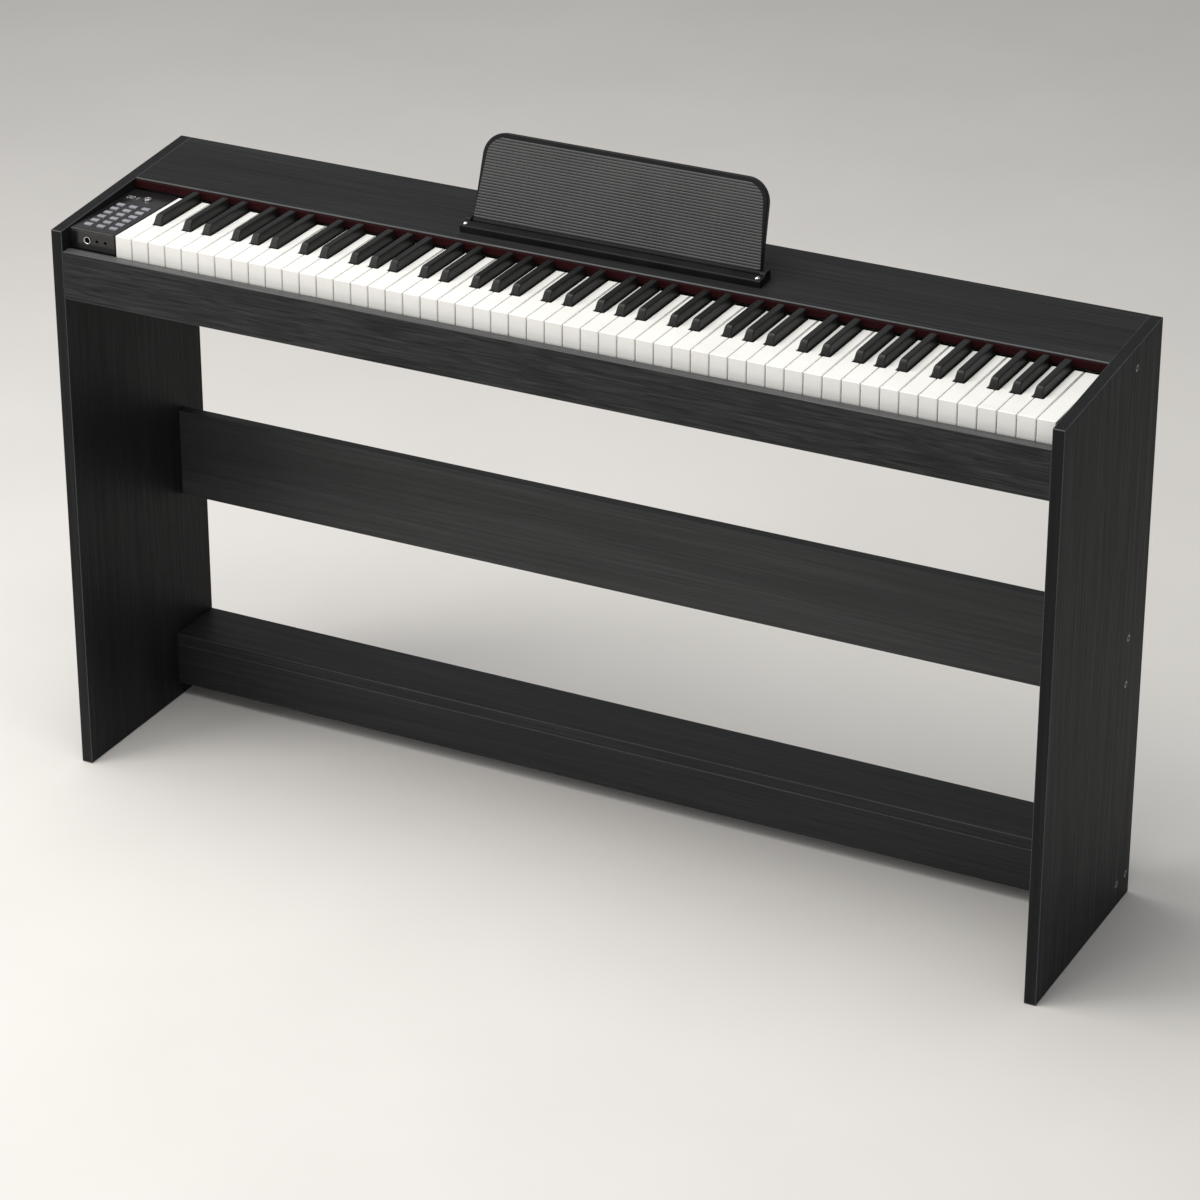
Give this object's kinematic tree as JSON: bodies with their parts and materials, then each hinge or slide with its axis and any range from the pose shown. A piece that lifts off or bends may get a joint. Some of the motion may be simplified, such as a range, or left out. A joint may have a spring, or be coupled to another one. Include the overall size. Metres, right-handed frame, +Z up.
{
  "type": "digital piano on stand",
  "caption": "Slim full-size digital piano built into a black flat-pack stand, with key combs that press, control buttons, and a music rest that folds back.",
  "frame": {"origin": "on the floor, under the middle of the bounding box", "axes": "+X to the player's right along the keyboard, +Y from the player to the back, +Z up"},
  "size_m": [1.32, 0.3, 0.8647],
  "materials": {
    "laminate": "black wood-grain laminate, satin",
    "white_key": "moulded plastic, soft gloss",
    "black_key": "moulded plastic, satin",
    "black_plastic": "moulded black plastic",
    "rest_plastic": "fine ribbed dark grey plastic",
    "button": "silver grey silicone",
    "glass": "dark display window",
    "felt": "dark red wool felt",
    "steel": "bright plated steel",
    "black_steel": "black oxide steel",
    "zinc": "zinc-plated sheet",
    "board_green": "green circuit board"
  },
  "bodies": {
    "stand": {"side_panel_left": "laminate", "side_panel_right": "laminate", "top_board": "laminate", "top_batten": "laminate", "fascia_board": "laminate", "keybed_board": "laminate", "rear_panel": "laminate", "mid_stretcher": "laminate", "lower_beam_top": "laminate", "lower_beam_front": "laminate", "lower_beam_bottom": "laminate", "screw_top_left": "black_steel", "screw_top_right": "black_steel", "screw_stretcher_upper_left": "black_steel", "screw_stretcher_upper_right": "black_steel", "screw_stretcher_lower_left": "black_steel", "screw_stretcher_lower_right": "black_steel", "screw_beam_front_left": "black_steel", "screw_beam_front_right": "black_steel", "screw_beam_back_left": "black_steel", "screw_beam_back_right": "black_steel", "control_housing": "black_plastic", "rest_ledge": "black_plastic", "rear_socket_plate": "black_plastic", "speaker_left": "black_plastic", "speaker_right": "black_plastic", "display_window": "glass", "felt_strip": "felt", "headphone_socket": "steel", "ledge_screw_left": "steel", "ledge_screw_right": "steel", "key_chassis": "zinc", "contact_board": "board_green", "main_board": "board_green"},
    "white_keys_1_cegb": {"white_keys_1_cegb": "white_key"},
    "white_keys_2_cegb": {"white_keys_2_cegb": "white_key"},
    "white_keys_3_cegb": {"white_keys_3_cegb": "white_key"},
    "white_keys_4_cegb": {"white_keys_4_cegb": "white_key"},
    "white_keys_5_cegb": {"white_keys_5_cegb": "white_key"},
    "white_keys_6_cegb": {"white_keys_6_cegb": "white_key"},
    "white_keys_7_cegb": {"white_keys_7_cegb": "white_key"},
    "white_keys_1_dfa": {"white_keys_1_dfa": "white_key"},
    "white_keys_2_dfa": {"white_keys_2_dfa": "white_key"},
    "white_keys_3_dfa": {"white_keys_3_dfa": "white_key"},
    "white_keys_4_dfa": {"white_keys_4_dfa": "white_key"},
    "white_keys_5_dfa": {"white_keys_5_dfa": "white_key"},
    "white_keys_6_dfa": {"white_keys_6_dfa": "white_key"},
    "white_keys_7_dfa": {"white_keys_7_dfa": "white_key"},
    "black_keys_1": {"black_keys_1": "black_key"},
    "black_keys_2": {"black_keys_2": "black_key"},
    "black_keys_3": {"black_keys_3": "black_key"},
    "black_keys_4": {"black_keys_4": "black_key"},
    "black_keys_5": {"black_keys_5": "black_key"},
    "black_keys_6": {"black_keys_6": "black_key"},
    "black_keys_7": {"black_keys_7": "black_key"},
    "button_column_left": {"button_column_left": "button"},
    "button_column_middle": {"button_column_middle": "button"},
    "button_column_right": {"button_column_right": "button"},
    "power_button": {"power_button": "steel"},
    "music_rest": {"music_rest": "rest_plastic"}
  },
  "joints": [
    {"name": "white_keys_1_cegb_press", "type": "hinge", "parent": "stand", "child": "white_keys_1_cegb", "pos_m": [0, 0.122, 0.711], "axis": [1, 0, 0], "range_deg": [0, 2.2], "stiffness_Nm_per_rad": 5, "springref_deg": -11.46},
    {"name": "white_keys_2_cegb_press", "type": "hinge", "parent": "stand", "child": "white_keys_2_cegb", "pos_m": [0, 0.122, 0.711], "axis": [1, 0, 0], "range_deg": [0, 2.2], "stiffness_Nm_per_rad": 5, "springref_deg": -11.46},
    {"name": "white_keys_3_cegb_press", "type": "hinge", "parent": "stand", "child": "white_keys_3_cegb", "pos_m": [0, 0.122, 0.711], "axis": [1, 0, 0], "range_deg": [0, 2.2], "stiffness_Nm_per_rad": 5, "springref_deg": -11.46},
    {"name": "white_keys_4_cegb_press", "type": "hinge", "parent": "stand", "child": "white_keys_4_cegb", "pos_m": [0, 0.122, 0.711], "axis": [1, 0, 0], "range_deg": [0, 2.2], "stiffness_Nm_per_rad": 5, "springref_deg": -11.46},
    {"name": "white_keys_5_cegb_press", "type": "hinge", "parent": "stand", "child": "white_keys_5_cegb", "pos_m": [0, 0.122, 0.711], "axis": [1, 0, 0], "range_deg": [0, 2.2], "stiffness_Nm_per_rad": 5, "springref_deg": -11.46},
    {"name": "white_keys_6_cegb_press", "type": "hinge", "parent": "stand", "child": "white_keys_6_cegb", "pos_m": [0, 0.122, 0.711], "axis": [1, 0, 0], "range_deg": [0, 2.2], "stiffness_Nm_per_rad": 5, "springref_deg": -11.46},
    {"name": "white_keys_7_cegb_press", "type": "hinge", "parent": "stand", "child": "white_keys_7_cegb", "pos_m": [0, 0.122, 0.711], "axis": [1, 0, 0], "range_deg": [0, 2.2], "stiffness_Nm_per_rad": 5, "springref_deg": -11.46},
    {"name": "white_keys_1_dfa_press", "type": "hinge", "parent": "stand", "child": "white_keys_1_dfa", "pos_m": [0, 0.122, 0.711], "axis": [1, 0, 0], "range_deg": [0, 2.2], "stiffness_Nm_per_rad": 5, "springref_deg": -11.46},
    {"name": "white_keys_2_dfa_press", "type": "hinge", "parent": "stand", "child": "white_keys_2_dfa", "pos_m": [0, 0.122, 0.711], "axis": [1, 0, 0], "range_deg": [0, 2.2], "stiffness_Nm_per_rad": 5, "springref_deg": -11.46},
    {"name": "white_keys_3_dfa_press", "type": "hinge", "parent": "stand", "child": "white_keys_3_dfa", "pos_m": [0, 0.122, 0.711], "axis": [1, 0, 0], "range_deg": [0, 2.2], "stiffness_Nm_per_rad": 5, "springref_deg": -11.46},
    {"name": "white_keys_4_dfa_press", "type": "hinge", "parent": "stand", "child": "white_keys_4_dfa", "pos_m": [0, 0.122, 0.711], "axis": [1, 0, 0], "range_deg": [0, 2.2], "stiffness_Nm_per_rad": 5, "springref_deg": -11.46},
    {"name": "white_keys_5_dfa_press", "type": "hinge", "parent": "stand", "child": "white_keys_5_dfa", "pos_m": [0, 0.122, 0.711], "axis": [1, 0, 0], "range_deg": [0, 2.2], "stiffness_Nm_per_rad": 5, "springref_deg": -11.46},
    {"name": "white_keys_6_dfa_press", "type": "hinge", "parent": "stand", "child": "white_keys_6_dfa", "pos_m": [0, 0.122, 0.711], "axis": [1, 0, 0], "range_deg": [0, 2.2], "stiffness_Nm_per_rad": 5, "springref_deg": -11.46},
    {"name": "white_keys_7_dfa_press", "type": "hinge", "parent": "stand", "child": "white_keys_7_dfa", "pos_m": [0, 0.122, 0.711], "axis": [1, 0, 0], "range_deg": [0, 2.2], "stiffness_Nm_per_rad": 5, "springref_deg": -11.46},
    {"name": "black_keys_1_press", "type": "hinge", "parent": "stand", "child": "black_keys_1", "pos_m": [0, 0.122, 0.711], "axis": [1, 0, 0], "range_deg": [0, 2.2], "stiffness_Nm_per_rad": 5, "springref_deg": -11.46},
    {"name": "black_keys_2_press", "type": "hinge", "parent": "stand", "child": "black_keys_2", "pos_m": [0, 0.122, 0.711], "axis": [1, 0, 0], "range_deg": [0, 2.2], "stiffness_Nm_per_rad": 5, "springref_deg": -11.46},
    {"name": "black_keys_3_press", "type": "hinge", "parent": "stand", "child": "black_keys_3", "pos_m": [0, 0.122, 0.711], "axis": [1, 0, 0], "range_deg": [0, 2.2], "stiffness_Nm_per_rad": 5, "springref_deg": -11.46},
    {"name": "black_keys_4_press", "type": "hinge", "parent": "stand", "child": "black_keys_4", "pos_m": [0, 0.122, 0.711], "axis": [1, 0, 0], "range_deg": [0, 2.2], "stiffness_Nm_per_rad": 5, "springref_deg": -11.46},
    {"name": "black_keys_5_press", "type": "hinge", "parent": "stand", "child": "black_keys_5", "pos_m": [0, 0.122, 0.711], "axis": [1, 0, 0], "range_deg": [0, 2.2], "stiffness_Nm_per_rad": 5, "springref_deg": -11.46},
    {"name": "black_keys_6_press", "type": "hinge", "parent": "stand", "child": "black_keys_6", "pos_m": [0, 0.122, 0.711], "axis": [1, 0, 0], "range_deg": [0, 2.2], "stiffness_Nm_per_rad": 5, "springref_deg": -11.46},
    {"name": "black_keys_7_press", "type": "hinge", "parent": "stand", "child": "black_keys_7", "pos_m": [0, 0.122, 0.711], "axis": [1, 0, 0], "range_deg": [0, 2.2], "stiffness_Nm_per_rad": 5, "springref_deg": -11.46},
    {"name": "button_column_left_press", "type": "slide", "parent": "stand", "child": "button_column_left", "axis": [0, 0, -1], "range_m": [0, 0.001], "stiffness_N_per_m": 600, "springref_m": -0.002},
    {"name": "button_column_middle_press", "type": "slide", "parent": "stand", "child": "button_column_middle", "axis": [0, 0, -1], "range_m": [0, 0.001], "stiffness_N_per_m": 600, "springref_m": -0.002},
    {"name": "button_column_right_press", "type": "slide", "parent": "stand", "child": "button_column_right", "axis": [0, 0, -1], "range_m": [0, 0.001], "stiffness_N_per_m": 600, "springref_m": -0.002},
    {"name": "power_button_press", "type": "slide", "parent": "stand", "child": "power_button", "axis": [0, 0, -1], "range_m": [0, 0.001], "stiffness_N_per_m": 500, "springref_m": -0.002},
    {"name": "rest_fold", "type": "hinge", "parent": "stand", "child": "music_rest", "pos_m": [0.004, 0.05901, 0.75755], "axis": [-1, 0, 0], "range_deg": [0, 68]}
  ]
}
